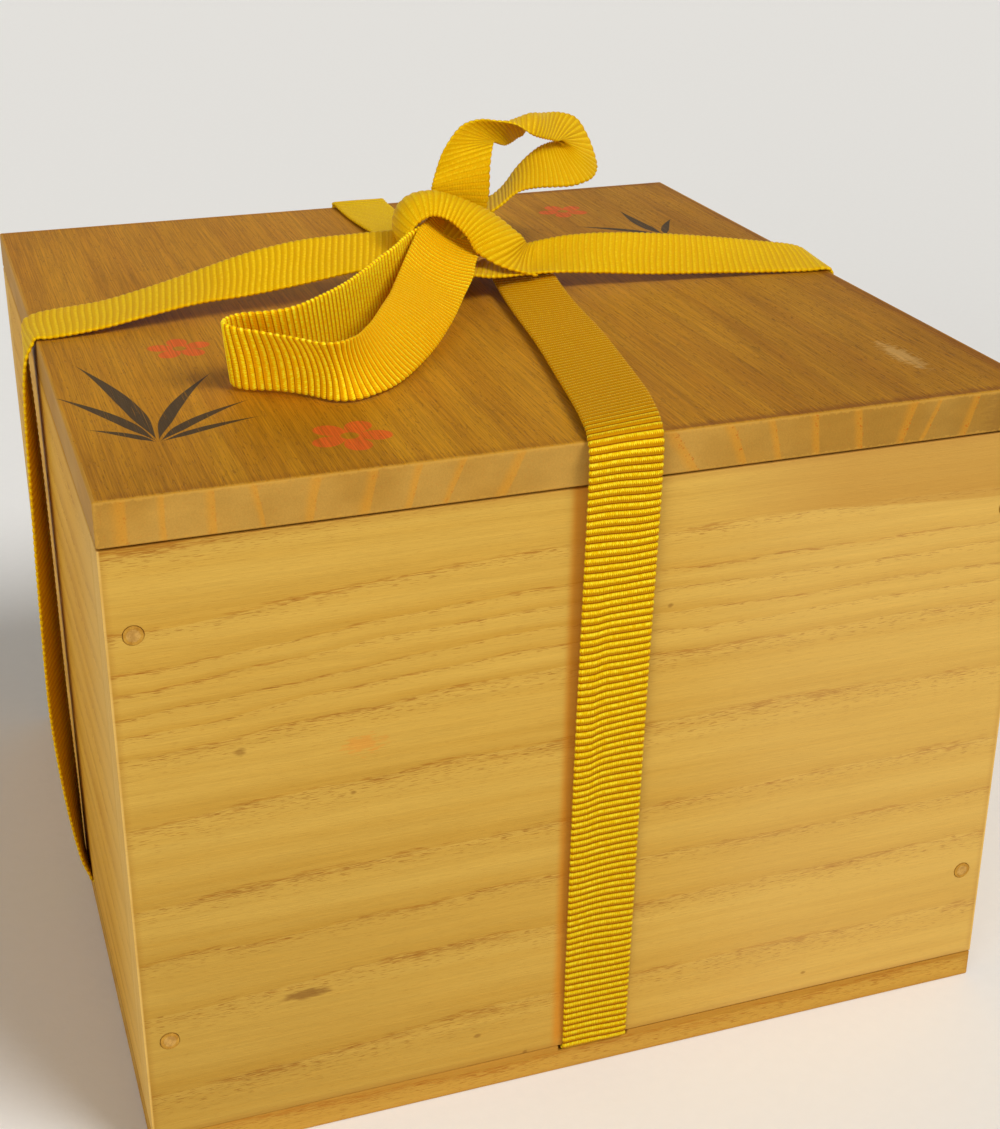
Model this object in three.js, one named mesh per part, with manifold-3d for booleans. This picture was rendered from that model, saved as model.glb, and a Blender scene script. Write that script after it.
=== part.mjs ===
// A wooden storage box for a tea bowl. Its boards are pegged together, its flat lid lifts off and is
// kept in place by four battens inside the mouth, and a flat ribbon is tied over it in a bow.
// Millimetres, +Z up, front at -Y. The origin is the middle of the base board's underside.

import * as THREE from 'three';
import Module from 'manifold-3d';
import { mergeVertices } from 'three/addons/utils/BufferGeometryUtils.js';

const wasm = await Module();
wasm.setup();

// Boards
const boxWidth = 160;
const boxDepth = 162;
const wallHeight = 109.6;
const wallThickness = 8.5;
const baseThickness = 5.5;
const lidThickness = 7.5;
const glueLine = 0.1;
const lidSeam = 0.3;

// Battens under the lid
const battenWidth = 9;
const battenHeight = 8;
const battenPlay = 0.6;

// Wooden pegs
const pegDiameter = 3;
const pegPlay = 0.15;
const pegGrip = 9.5;
const battenPegGrip = 4;
const cutOverrun = 1;
const pegSides = 16;
const upperPegShare = 0.87;
const lowerPegShare = 0.18;
const basePegShare = 0.68;
const battenPegShare = 0.6;

// Ribbon and the slots that it passes through under the walls
const ribbonWidth = 12.2;
const ribbonThickness = 0.7;
const ribbonGap = 0.3;
const slotPlay = 0.2;
const slotSidePlay = 0.6;
const slotRun = 20;
const frontSlotX = 0.3;
const backSlotX = 0;
const leftSlotY = 5;
const rightSlotY = 0.5;
const edgeStandOff = 1.3;
const stepsPerStation = 3;

// How far the ribbon bellies out from each wall between the slot and the lid
const frontBelly = 0.4;
const backBelly = 0.4;
const leftBelly = 3.6;
const rightBelly = 1.2;

// Bow
const loopReach = 50;
const knotWidth = 27;
const knotHeight = 20;
const knotDepth = 11;
const knotRounding = 2.5;
const knotBackY = 13;
const knotRoundingSteps = 2;

// Heights and half spans that the pieces share
const halfWidth = boxWidth / 2;
const halfDepth = boxDepth / 2;
const wallBottom = baseThickness + glueLine;
const wallTop = wallBottom + wallHeight;
const lidBottom = wallTop + lidSeam;
const lidTop = lidBottom + lidThickness;
const innerHalfWidth = halfWidth - wallThickness;
const innerHalfDepth = halfDepth - wallThickness;
const battenTop = lidBottom - glueLine;
const battenBottom = battenTop - battenHeight;
const slotDepth = ribbonThickness + 2 * slotPlay;
const slotFloor = baseThickness - slotDepth;
const lyingOffset = ribbonGap + ribbonThickness / 2;

// Materials
function material(colour, roughness) {
  return new THREE.MeshStandardMaterial({ color: colour, roughness, metalness: 0 });
}

const wallWood = material(0xb98a52, 0.7);
const lidWood = material(0xa8773d, 0.65);
const hiddenWood = material(0xc9a06a, 0.75);
const pegWood = material(0x9a6a38, 0.7);
const ribbonCloth = material(0xe3a912, 0.85);

const group = new THREE.Group();

function addPiece(name, geometry, pieceMaterial) {
  const mesh = new THREE.Mesh(geometry, pieceMaterial);
  mesh.name = name;
  group.add(mesh);
}

// Closed meshes to solids and back, for the cuts
function solidFrom(geometry) {
  const bare = geometry.clone();
  bare.deleteAttribute('normal');
  bare.deleteAttribute('uv');
  const merged = mergeVertices(bare);
  const mesh = new wasm.Mesh({
    numProp: 3,
    vertProperties: new Float32Array(merged.attributes.position.array),
    triVerts: new Uint32Array(merged.index.array),
  });
  return new wasm.Manifold(mesh);
}

function geometryFrom(solid) {
  const mesh = solid.getMesh();
  const geometry = new THREE.BufferGeometry();
  geometry.setAttribute('position', new THREE.BufferAttribute(mesh.vertProperties, 3));
  geometry.setIndex(new THREE.BufferAttribute(mesh.triVerts, 1));
  geometry.computeVertexNormals();
  return geometry;
}

// A board between two opposite corners
function board(low, high) {
  const size = new THREE.Vector3().subVectors(high, low);
  const middle = new THREE.Vector3().addVectors(low, high).multiplyScalar(0.5);
  const geometry = new THREE.BoxGeometry(size.x, size.y, size.z);
  geometry.translate(middle.x, middle.y, middle.z);
  return geometry;
}

// A round pin from its head, straight into the wood along a direction
function pin(head, direction, length, diameter) {
  const geometry = new THREE.CylinderGeometry(diameter / 2, diameter / 2, length, pegSides);
  geometry.translate(0, length / 2, 0);
  const turn = new THREE.Quaternion().setFromUnitVectors(new THREE.Vector3(0, 1, 0), direction);
  geometry.applyQuaternion(turn);
  geometry.translate(head.x, head.y, head.z);
  return geometry;
}

// The hole of a peg starts outside the face that shows the head and ends past the peg's tip
function pegHole(peg) {
  const start = peg.head.clone().addScaledVector(peg.direction, -cutOverrun);
  const length = cutOverrun + peg.length + glueLine;
  return solidFrom(pin(start, peg.direction, length, pegDiameter + 2 * pegPlay));
}

function drilled(geometry, pegs) {
  let solid = solidFrom(geometry);
  for (const peg of pegs) {
    solid = solid.subtract(pegHole(peg));
  }
  return geometryFrom(solid);
}

// Pegs through the front and back walls into the end grain of the side walls
const wallPegLength = wallThickness + glueLine + pegGrip;
const wallPegs = { front: [], back: [] };
for (const [side, sign] of [['front', -1], ['back', 1]]) {
  for (const across of [-1, 1]) {
    for (const heightShare of [lowerPegShare, upperPegShare]) {
      wallPegs[side].push({
        head: new THREE.Vector3(
          across * (halfWidth - wallThickness / 2),
          sign * halfDepth,
          wallBottom + heightShare * wallHeight,
        ),
        direction: new THREE.Vector3(0, -sign, 0),
        length: wallPegLength,
      });
    }
  }
}

// Pegs from below through the base board into the walls
const basePegs = [];
const basePegLength = wallBottom + pegGrip;
for (const along of [-1, 1]) {
  for (const sign of [-1, 1]) {
    const underFrontOrBack = new THREE.Vector3(
      along * basePegShare * innerHalfWidth, sign * (halfDepth - wallThickness / 2), 0);
    const underLeftOrRight = new THREE.Vector3(
      sign * (halfWidth - wallThickness / 2), along * basePegShare * innerHalfDepth, 0);
    for (const head of [underFrontOrBack, underLeftOrRight]) {
      basePegs.push({ head, direction: new THREE.Vector3(0, 0, 1), length: basePegLength });
    }
  }
}

// Battens: the front and back ones run across the mouth, the side ones fit between them
const battenHalfX = innerHalfWidth - battenPlay;
const battenHalfY = innerHalfDepth - battenPlay;
const sideBattenHalfY = battenHalfY - battenWidth - glueLine;
const battens = {
  front: board(
    new THREE.Vector3(-battenHalfX, -battenHalfY, battenBottom),
    new THREE.Vector3(battenHalfX, -battenHalfY + battenWidth, battenTop)),
  back: board(
    new THREE.Vector3(-battenHalfX, battenHalfY - battenWidth, battenBottom),
    new THREE.Vector3(battenHalfX, battenHalfY, battenTop)),
  left: board(
    new THREE.Vector3(-battenHalfX, -sideBattenHalfY, battenBottom),
    new THREE.Vector3(-battenHalfX + battenWidth, sideBattenHalfY, battenTop)),
  right: board(
    new THREE.Vector3(battenHalfX - battenWidth, -sideBattenHalfY, battenBottom),
    new THREE.Vector3(battenHalfX, sideBattenHalfY, battenTop)),
};

// Pegs from below through the battens into the lid
const battenPegLength = battenHeight + glueLine + battenPegGrip;
const battenPegs = { front: [], back: [], left: [], right: [] };
for (const along of [-1, 1]) {
  const x = along * battenPegShare * battenHalfX;
  const y = along * battenPegShare * battenHalfY;
  const places = {
    front: [x, -battenHalfY + battenWidth / 2],
    back: [x, battenHalfY - battenWidth / 2],
    left: [-battenHalfX + battenWidth / 2, y],
    right: [battenHalfX - battenWidth / 2, y],
  };
  for (const [side, place] of Object.entries(places)) {
    battenPegs[side].push({
      head: new THREE.Vector3(place[0], place[1], battenBottom),
      direction: new THREE.Vector3(0, 0, 1),
      length: battenPegLength,
    });
  }
}
const allBattenPegs = Object.values(battenPegs).flat();

// The four sides: which way is out, which way is along the wall, and where the slot is
const sides = {
  front: {
    out: new THREE.Vector3(0, -1, 0),
    along: new THREE.Vector3(1, 0, 0),
    reach: halfDepth,
    slot: frontSlotX,
    belly: frontBelly,
  },
  back: {
    out: new THREE.Vector3(0, 1, 0),
    along: new THREE.Vector3(1, 0, 0),
    reach: halfDepth,
    slot: backSlotX,
    belly: backBelly,
  },
  left: {
    out: new THREE.Vector3(-1, 0, 0),
    along: new THREE.Vector3(0, 1, 0),
    reach: halfWidth,
    slot: leftSlotY,
    belly: leftBelly,
  },
  right: {
    out: new THREE.Vector3(1, 0, 0),
    along: new THREE.Vector3(0, 1, 0),
    reach: halfWidth,
    slot: rightSlotY,
    belly: rightBelly,
  },
};

// A point beside a wall: its distance out from the middle, its place along the wall, its height
function pointAt(side, out, along, height) {
  return new THREE.Vector3(0, 0, height)
    .addScaledVector(side.out, out)
    .addScaledVector(side.along, along);
}

// The slot is a shallow channel in the base's top that runs in from the edge, under the wall
function slotCutter(side) {
  const halfSlot = ribbonWidth / 2 + slotSidePlay;
  const corners = [
    pointAt(side, side.reach + cutOverrun, side.slot - halfSlot, slotFloor),
    pointAt(side, side.reach - slotRun, side.slot + halfSlot, baseThickness + cutOverrun),
  ];
  const low = corners[0].clone().min(corners[1]);
  const high = corners[0].clone().max(corners[1]);
  return solidFrom(board(low, high));
}

// Base board
let baseSolid = solidFrom(board(
  new THREE.Vector3(-halfWidth, -halfDepth, 0),
  new THREE.Vector3(halfWidth, halfDepth, baseThickness)));
for (const side of Object.values(sides)) {
  baseSolid = baseSolid.subtract(slotCutter(side));
}
for (const peg of basePegs) {
  baseSolid = baseSolid.subtract(pegHole(peg));
}
addPiece('base_board', geometryFrom(baseSolid), wallWood);

// Walls: the front and back ones cover the ends of the side ones
const sideWallHalfLength = innerHalfDepth - glueLine;
const frontWall = board(
  new THREE.Vector3(-halfWidth, -halfDepth, wallBottom),
  new THREE.Vector3(halfWidth, -innerHalfDepth, wallTop));
const backWall = board(
  new THREE.Vector3(-halfWidth, innerHalfDepth, wallBottom),
  new THREE.Vector3(halfWidth, halfDepth, wallTop));
const leftWall = board(
  new THREE.Vector3(-halfWidth, -sideWallHalfLength, wallBottom),
  new THREE.Vector3(-innerHalfWidth, sideWallHalfLength, wallTop));
const rightWall = board(
  new THREE.Vector3(innerHalfWidth, -sideWallHalfLength, wallBottom),
  new THREE.Vector3(halfWidth, sideWallHalfLength, wallTop));
const wallAndBasePegs = [...wallPegs.front, ...wallPegs.back, ...basePegs];
addPiece('front_wall', drilled(frontWall, wallAndBasePegs), wallWood);
addPiece('back_wall', drilled(backWall, wallAndBasePegs), wallWood);
addPiece('left_wall', drilled(leftWall, wallAndBasePegs), wallWood);
addPiece('right_wall', drilled(rightWall, wallAndBasePegs), wallWood);

// Lid and its battens
const lidBoard = board(
  new THREE.Vector3(-halfWidth, -halfDepth, lidBottom),
  new THREE.Vector3(halfWidth, halfDepth, lidTop));
addPiece('lid_board', drilled(lidBoard, allBattenPegs), lidWood);
for (const [side, geometry] of Object.entries(battens)) {
  addPiece(`lid_batten_${side}`, drilled(geometry, battenPegs[side]), hiddenWood);
}

// Pegs
function addPegs(prefix, pegs) {
  pegs.forEach((peg, index) => {
    const geometry = pin(peg.head, peg.direction, peg.length, pegDiameter);
    addPiece(`${prefix}_${index + 1}`, geometry, pegWood);
  });
}
addPegs('front_peg', wallPegs.front);
addPegs('back_peg', wallPegs.back);
addPegs('base_peg', basePegs);
addPegs('batten_peg', allBattenPegs);

// A flat ribbon swept along rings. Each ring has a centre and the direction across the ribbon.
function ribbonFrom(rings) {
  const positions = [];
  const indices = [];
  const last = rings.length - 1;
  rings.forEach((ring, index) => {
    const before = rings[Math.max(index - 1, 0)].centre;
    const after = rings[Math.min(index + 1, last)].centre;
    const along = new THREE.Vector3().subVectors(after, before).normalize();
    const across = ring.across.clone().addScaledVector(along, -ring.across.dot(along)).normalize();
    const through = new THREE.Vector3().crossVectors(along, across);
    for (const [sideways, up] of [[-1, -1], [1, -1], [1, 1], [-1, 1]]) {
      const corner = ring.centre.clone()
        .addScaledVector(across, sideways * ribbonWidth / 2)
        .addScaledVector(through, up * ribbonThickness / 2);
      positions.push(corner.x, corner.y, corner.z);
    }
  });
  for (let ring = 0; ring < last; ring += 1) {
    for (let corner = 0; corner < 4; corner += 1) {
      const a = 4 * ring + corner;
      const b = 4 * ring + (corner + 1) % 4;
      indices.push(a, b, a + 4, b, b + 4, a + 4);
    }
  }
  const end = 4 * last;
  indices.push(0, 2, 1, 0, 3, 2);
  indices.push(end, end + 1, end + 2, end, end + 2, end + 3);
  const geometry = new THREE.BufferGeometry();
  geometry.setAttribute('position', new THREE.Float32BufferAttribute(positions, 3));
  geometry.setIndex(indices);
  geometry.computeVertexNormals();
  return geometry;
}

// Smooth rings through stations that were placed by hand
function smoothRings(stations) {
  const centres = new THREE.CatmullRomCurve3(stations.map((station) => station.centre));
  const acrosses = new THREE.CatmullRomCurve3(stations.map((station) => station.across));
  centres.curveType = 'catmullrom';
  acrosses.curveType = 'catmullrom';
  const count = (stations.length - 1) * stepsPerStation;
  const rings = [];
  for (let index = 0; index <= count; index += 1) {
    rings.push({
      centre: centres.getPoint(index / count),
      across: acrosses.getPoint(index / count).normalize(),
    });
  }
  return rings;
}

// Ribbon on the floor of the box: from one slot, over the base board, to the opposite slot
function floorRun(from, to, crossingLift) {
  const slotHeight = slotFloor + slotPlay + ribbonThickness / 2;
  const floorHeight = baseThickness + lyingOffset;
  const crossingHeight = floorHeight + crossingLift;
  const halfCrossing = ribbonWidth / 2 + slotSidePlay;
  const outer = from.reach + ribbonGap + ribbonThickness;
  const underWall = from.reach - wallThickness;
  const onFloor = from.reach - slotRun;
  const profile = [
    [outer, slotHeight],
    [underWall, slotHeight],
    [onFloor, floorHeight],
    [halfCrossing + ribbonWidth, floorHeight],
    [halfCrossing, crossingHeight],
  ];
  const rings = [];
  const total = 2 * outer;
  const place = (out, height) => {
    const share = (outer - out) / total;
    const along = from.slot + (to.slot - from.slot) * share;
    rings.push({ centre: pointAt(from, out, along, height), across: from.along });
  };
  for (const [out, height] of profile) {
    place(out, height);
  }
  for (const [out, height] of [...profile].reverse()) {
    place(-out, height);
  }
  return ribbonFrom(rings);
}
addPiece('ribbon_floor_front_back', floorRun(sides.front, sides.back, 0), ribbonCloth);
addPiece(
  'ribbon_floor_left_right',
  floorRun(sides.left, sides.right, ribbonThickness + ribbonGap),
  ribbonCloth);

// Ribbon on the outside of a wall, from the slot up to half the lid's thickness.
// The belly shares say how much of the belly shows at a share of that height.
const bellyShares = [
  [0, 0], [0.06, 0.28], [0.14, 0.63], [0.26, 0.88], [0.36, 1], [0.48, 0.93],
  [0.57, 0.83], [0.73, 0.66], [0.87, 0.53], [0.96, 0.2], [1, 0],
];
const lidTurnEnd = lidTop - lidThickness / 2;
const sideRunBottom = wallBottom + slotPlay;
const sideRunTop = lidTurnEnd - ribbonGap - slotPlay;

function sideRun(side, lidAlong) {
  const stations = bellyShares.map(([heightShare, bellyShare]) => {
    const standOff = lyingOffset + (edgeStandOff - lyingOffset) * heightShare + side.belly * bellyShare;
    const along = side.slot + (lidAlong - side.slot) * heightShare;
    const height = sideRunBottom + (sideRunTop - sideRunBottom) * heightShare;
    return { centre: pointAt(side, side.reach + standOff, along, height), across: side.along };
  });
  return ribbonFrom(smoothRings(stations));
}

// Ribbon on top of the lid, from the knot to the edge and down over it.
// out: share of the distance from the middle to the edge; along: share of the ribbon's width;
// low: height of the lower selvedge over the lid, as a share of the knot's height;
// tilt: how much the ribbon's outer selvedge rises for its width across.
const topRunShares = {
  front: [
    { out: -0.06, along: 0.64, low: 0.18, tilt: 0.04 },
    { out: 0.05, along: 0.84, low: 0.13, tilt: 0.02 },
    { out: 0.2, along: 0.97, low: 0.1, tilt: 0.01 },
    { out: 0.44, along: 0.85, low: 0.04, tilt: 0 },
    { out: 0.76, along: 0.52, low: 0.01, tilt: 0 },
    { out: 0.93, along: 0.33, low: 0.01, tilt: 0 },
  ],
  back: [
    { out: 0.1, along: 0.66, low: 0.2, tilt: 0.04 },
    { out: 0.27, along: 0.62, low: 0.16, tilt: 0.04 },
    { out: 0.56, along: 0.37, low: 0.05, tilt: 0.06 },
    { out: 0.8, along: 0.23, low: 0.01, tilt: 0.04 },
    { out: 0.93, along: 0.2, low: 0.01, tilt: 0 },
  ],
  left: [
    { out: 0.06, along: 0.8, low: 0.38, tilt: 0.4 },
    { out: 0.22, along: 0.78, low: 0.3, tilt: 0.44 },
    { out: 0.35, along: 0.69, low: 0.25, tilt: 0.56 },
    { out: 0.48, along: 0.62, low: 0.19, tilt: 0.56 },
    { out: 0.6, along: 0.54, low: 0.16, tilt: 0.32 },
    { out: 0.73, along: 0.46, low: 0.1, tilt: 0.26 },
    { out: 0.84, along: 0.38, low: 0.05, tilt: 0.2 },
    { out: 0.94, along: 0.35, low: 0.02, tilt: 0.1 },
  ],
  right: [
    { out: 0.17, along: 0.67, low: 0.26, tilt: 0.42 },
    { out: 0.3, along: 0.42, low: 0.21, tilt: 0.6 },
    { out: 0.43, along: 0.3, low: 0.13, tilt: 0.58 },
    { out: 0.54, along: 0.25, low: 0.09, tilt: 0.55 },
    { out: 0.7, along: 0.18, low: 0.07, tilt: 0.44 },
    { out: 0.85, along: 0.11, low: 0.04, tilt: 0.3 },
    { out: 0.94, along: 0.07, low: 0.02, tilt: 0.14 },
  ],
};
const edgeTurnShares = [0.86, 0.5, 0.14];
const edgeFallShares = [0.5, 1];

function topRun(side, table) {
  const stations = table.map(({ out, along, low, tilt }) => {
    const rise = (ribbonWidth / 2) * tilt / Math.hypot(1, tilt);
    const height = lidTop + lyingOffset + low * knotHeight + rise;
    return {
      centre: pointAt(side, out * side.reach, along * ribbonWidth, height),
      across: side.along.clone().add(new THREE.Vector3(0, 0, tilt)).normalize(),
    };
  });
  const lastAlong = table[table.length - 1].along * ribbonWidth;
  for (const share of edgeTurnShares) {
    const angle = share * Math.PI / 2;
    const out = side.reach + edgeStandOff * Math.cos(angle);
    const height = lidTop + edgeStandOff * Math.sin(angle);
    stations.push({ centre: pointAt(side, out, lastAlong, height), across: side.along });
  }
  for (const share of edgeFallShares) {
    const height = lidTop + (lidTurnEnd - lidTop) * share;
    stations.push({
      centre: pointAt(side, side.reach + edgeStandOff, lastAlong, height),
      across: side.along,
    });
  }
  return ribbonFrom(smoothRings(stations));
}

// The knot: an arch of ribbon, rounded in front and behind, as a closed outline in X and Z.
// Its points are shares of the knot's width and height.
const knotOutlineShares = [
  [-0.35, 0.72], [-0.33, 0.86], [-0.26, 0.96], [-0.16, 1], [-0.02, 0.97], [0.13, 0.89],
  [0.3, 0.78], [0.46, 0.65], [0.65, 0.42], [0.62, 0.2], [0.3, 0.1], [-0.2, 0.1], [-0.32, 0.36],
];

function knot(margin) {
  const outline = new THREE.Shape(knotOutlineShares.map(([across, height]) => (
    new THREE.Vector2(across * knotWidth, height * knotHeight))));
  const geometry = new THREE.ExtrudeGeometry(outline, {
    depth: knotDepth - 2 * knotRounding + 2 * margin,
    bevelEnabled: true,
    bevelThickness: knotRounding,
    bevelSize: knotRounding,
    bevelOffset: margin - knotRounding,
    bevelSegments: knotRoundingSteps,
  });
  geometry.rotateX(Math.PI / 2);
  geometry.translate(0, knotBackY - knotRounding + margin, lidTop);
  return geometry;
}
addPiece('bow_knot', knot(0), ribbonCloth);
const aroundKnot = solidFrom(knot(ribbonGap));

// What is left of a ribbon outside the knot
function clearOfKnot(solid) {
  return geometryFrom(solid.subtract(aroundKnot));
}

for (const [name, side] of Object.entries(sides)) {
  const table = topRunShares[name];
  const lidAlong = table[table.length - 1].along * ribbonWidth;
  addPiece(`ribbon_side_${name}`, sideRun(side, lidAlong), ribbonCloth);
  addPiece(`ribbon_top_${name}`, clearOfKnot(solidFrom(topRun(side, table))), ribbonCloth);
}

// The loops of the bow. at: place over the lid, as shares of the loops' reach; inKnot: place inside
// the knot, as shares of its width and, from its front, of its depth; low: height of the lower
// selvedge over the lid, as a share of the reach; across: the direction across the ribbon.
const frontLoopShares = [
  { inKnot: [0.26, 0.55], low: 0.09, across: [-0.8, 0, 0.6] },
  { inKnot: [0.11, 0.18], low: 0.11, across: [-0.8, -0.1, 0.6] },
  { at: [-0.06, -0.12], low: 0.09, across: [-0.8, -0.1, 0.6] },
  { at: [-0.19, -0.33], low: 0.06, across: [-0.7, 0, 0.7] },
  { at: [-0.32, -0.54], low: 0.03, across: [-0.6, 0, 0.8] },
  { at: [-0.46, -0.76], low: 0.01, across: [-0.5, 0, 0.9] },
  { at: [-0.59, -0.94], low: 0.01, across: [-0.4, -0.2, 0.9] },
  { at: [-0.72, -1.04], low: 0.01, across: [-0.2, -0.3, 0.9] },
  { at: [-0.86, -0.97], low: 0.01, across: [-0.2, -0.3, 0.9] },
  { at: [-0.99, -0.85], low: 0.01, across: [-0.1, -0.3, 0.9] },
  { at: [-1.03, -0.76], low: 0.01, across: [-0.1, -0.2, 1] },
  { at: [-0.99, -0.69], low: 0.01, across: [-0.1, -0.2, 1] },
  { at: [-0.85, -0.67], low: 0.01, across: [-0.1, -0.2, 1] },
  { at: [-0.7, -0.59], low: 0.01, across: [-0.1, -0.2, 1] },
  { at: [-0.53, -0.4], low: 0.01, across: [-0.1, -0.2, 1] },
  { at: [-0.36, -0.19], low: 0.02, across: [-0.1, -0.2, 1] },
  { at: [-0.19, 0.02], low: 0.05, across: [-0.2, -0.2, 1] },
  { inKnot: [-0.04, 0.64], low: 0.07, across: [-0.2, -0.2, 1] },
];
const backLoopShares = [
  { inKnot: [0.19, 0.64], low: 0.21, across: [1, -0.2, 0.2] },
  { at: [0.12, 0.24], low: 0.3, across: [0.9, -0.3, 0.2] },
  { at: [0.14, 0.27], low: 0.36, across: [0.9, -0.4, 0.2] },
  { at: [0.17, 0.32], low: 0.42, across: [0.8, -0.5, 0.2] },
  { at: [0.21, 0.37], low: 0.49, across: [0.6, -0.8, 0.1] },
  { at: [0.28, 0.42], low: 0.5, across: [0.3, -0.9, -0.2] },
  { at: [0.37, 0.48], low: 0.48, across: [0.1, -0.9, -0.3] },
  { at: [0.46, 0.54], low: 0.46, across: [0.1, -0.9, -0.3] },
  { at: [0.56, 0.59], low: 0.42, across: [0.1, -0.8, -0.6] },
  { at: [0.65, 0.64], low: 0.36, across: [0, -0.5, -0.9] },
  { at: [0.76, 0.66], low: 0.31, across: [0, -0.4, -0.9] },
  { at: [0.82, 0.63], low: 0.28, across: [0, -0.4, -0.9] },
  { at: [0.79, 0.58], low: 0.28, across: [0, -0.6, -0.8] },
  { at: [0.7, 0.52], low: 0.29, across: [0, -0.7, -0.7] },
  { at: [0.61, 0.48], low: 0.32, across: [0, -0.9, -0.5] },
  { at: [0.54, 0.44], low: 0.34, across: [0, -0.9, -0.4] },
  { at: [0.46, 0.39], low: 0.33, across: [0, -1, -0.2] },
  { at: [0.39, 0.34], low: 0.31, across: [-0.1, -1, -0.1] },
  { at: [0.32, 0.28], low: 0.27, across: [-0.2, -1, 0] },
  { at: [0.25, 0.24], low: 0.22, across: [-0.2, -1, 0.1] },
  { inKnot: [0.3, 0.59], low: 0.19, across: [-0.3, -0.9, 0.1] },
];

// A station's place over the lid, as [x, y]
function overLid({ at, inKnot }) {
  if (inKnot) {
    return [inKnot[0] * knotWidth, knotBackY - (1 - inKnot[1]) * knotDepth];
  }
  return [at[0] * loopReach, at[1] * loopReach];
}

// Each loop is swept as two halves that meet at its tip, then joined and cut clear of the knot
function loop(table) {
  const stations = table.map((station) => {
    const direction = new THREE.Vector3(...station.across).normalize();
    const rise = Math.abs(direction.z) * ribbonWidth / 2;
    const height = lidTop + lyingOffset + station.low * loopReach + rise;
    return {
      centre: new THREE.Vector3(...overLid(station), height),
      across: direction,
    };
  });
  const rings = smoothRings(stations);
  const tip = Math.floor(rings.length / 2);
  const outward = solidFrom(ribbonFrom(rings.slice(0, tip + 1)));
  const homeward = solidFrom(ribbonFrom(rings.slice(tip - 1)));
  return clearOfKnot(outward.add(homeward));
}
addPiece('bow_loop_front', loop(frontLoopShares), ribbonCloth);
addPiece('bow_loop_back', loop(backLoopShares), ribbonCloth);

export default group;
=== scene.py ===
# The looks of a wooden storage box for a tea bowl, tied with a ribbed ribbon.
# Lengths are in millimetres until they reach Blender, where MM turns them into metres.
import math

import bpy
import numpy as np
from mathutils import Matrix, Vector


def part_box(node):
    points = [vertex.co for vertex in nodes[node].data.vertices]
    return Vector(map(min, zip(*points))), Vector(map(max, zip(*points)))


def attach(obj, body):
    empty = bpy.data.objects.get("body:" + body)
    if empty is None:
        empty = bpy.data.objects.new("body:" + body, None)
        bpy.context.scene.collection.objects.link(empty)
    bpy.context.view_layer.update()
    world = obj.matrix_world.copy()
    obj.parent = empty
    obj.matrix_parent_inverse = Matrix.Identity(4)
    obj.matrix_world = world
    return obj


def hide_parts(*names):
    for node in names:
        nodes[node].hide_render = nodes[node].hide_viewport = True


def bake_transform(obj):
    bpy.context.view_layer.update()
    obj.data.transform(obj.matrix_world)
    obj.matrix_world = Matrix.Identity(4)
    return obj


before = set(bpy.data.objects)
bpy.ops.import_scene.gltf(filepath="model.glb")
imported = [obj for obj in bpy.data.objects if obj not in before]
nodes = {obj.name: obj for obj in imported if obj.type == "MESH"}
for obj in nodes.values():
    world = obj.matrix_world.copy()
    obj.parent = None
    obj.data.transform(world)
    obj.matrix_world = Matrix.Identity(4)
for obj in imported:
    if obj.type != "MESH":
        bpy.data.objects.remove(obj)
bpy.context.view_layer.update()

MM = 0.001

# Heights of the lid, and half of the box's width and depth
LID_TOP = 123.0
LID_BOTTOM = 115.5
HALF_WIDTH = 80.0
HALF_DEPTH = 81.0


# Camera

# Solved from the box's corners in the photograph, with its turns in degrees
SENSOR_WIDTH = 36
FOCAL_LENGTH = 56.7
SHIFT_UP = -0.0394
CAMERA_PLACE = (-101.06, -321.96, 222.92)
CAMERA_TURN = -19.03
CAMERA_TILT = 66.42
CAMERA_ROLL = 0.12


def add_camera():
    data = bpy.data.cameras.new("camera")
    data.sensor_width = SENSOR_WIDTH
    data.lens = FOCAL_LENGTH
    data.shift_y = SHIFT_UP
    camera = bpy.data.objects.new("camera", data)
    turn = Matrix.Rotation(math.radians(CAMERA_TURN), 4, "Z")
    tilt = Matrix.Rotation(math.radians(CAMERA_TILT), 4, "X")
    roll = Matrix.Rotation(math.radians(CAMERA_ROLL), 4, "Z")
    place = Matrix.Translation(Vector(CAMERA_PLACE) * MM)
    camera.matrix_world = place @ turn @ tilt @ roll
    bpy.context.collection.objects.link(camera)
    bpy.context.scene.camera = camera


# Light

def add_sun(name, direction, strength, softness):
    """A distant lamp that shines from a direction. Softness is how wide it looks, in degrees."""
    data = bpy.data.lights.new(name, "SUN")
    data.energy = strength
    data.angle = math.radians(softness)
    lamp = bpy.data.objects.new(name, data)
    lamp.rotation_euler = Vector(direction).to_track_quat("Z", "Y").to_euler()
    bpy.context.collection.objects.link(lamp)


def light_world(ambient, backdrop):
    """Even light all round, and a pale backdrop for the camera and for reflections."""
    world = bpy.data.worlds.new("studio")
    world.use_nodes = True
    bpy.context.scene.world = world
    tree = world.node_tree
    shade = tree.nodes["Background"]
    shade.inputs["Color"].default_value = (1.0, 0.98, 0.94, 1)
    rays = tree.nodes.new("ShaderNodeLightPath")
    shown = rays.outputs["Is Camera Ray"]
    for ray in ("Is Transmission Ray", "Is Glossy Ray"):
        either = tree.nodes.new("ShaderNodeMath")
        either.operation = "MAXIMUM"
        tree.links.new(shown, either.inputs[0])
        tree.links.new(rays.outputs[ray], either.inputs[1])
        shown = either.outputs[0]
    strength = tree.nodes.new("ShaderNodeMapRange")
    strength.inputs["To Min"].default_value = ambient
    strength.inputs["To Max"].default_value = backdrop
    tree.links.new(shown, strength.inputs["Value"])
    tree.links.new(strength.outputs[0], shade.inputs["Strength"])


# Material graphs written as plain expressions

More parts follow.
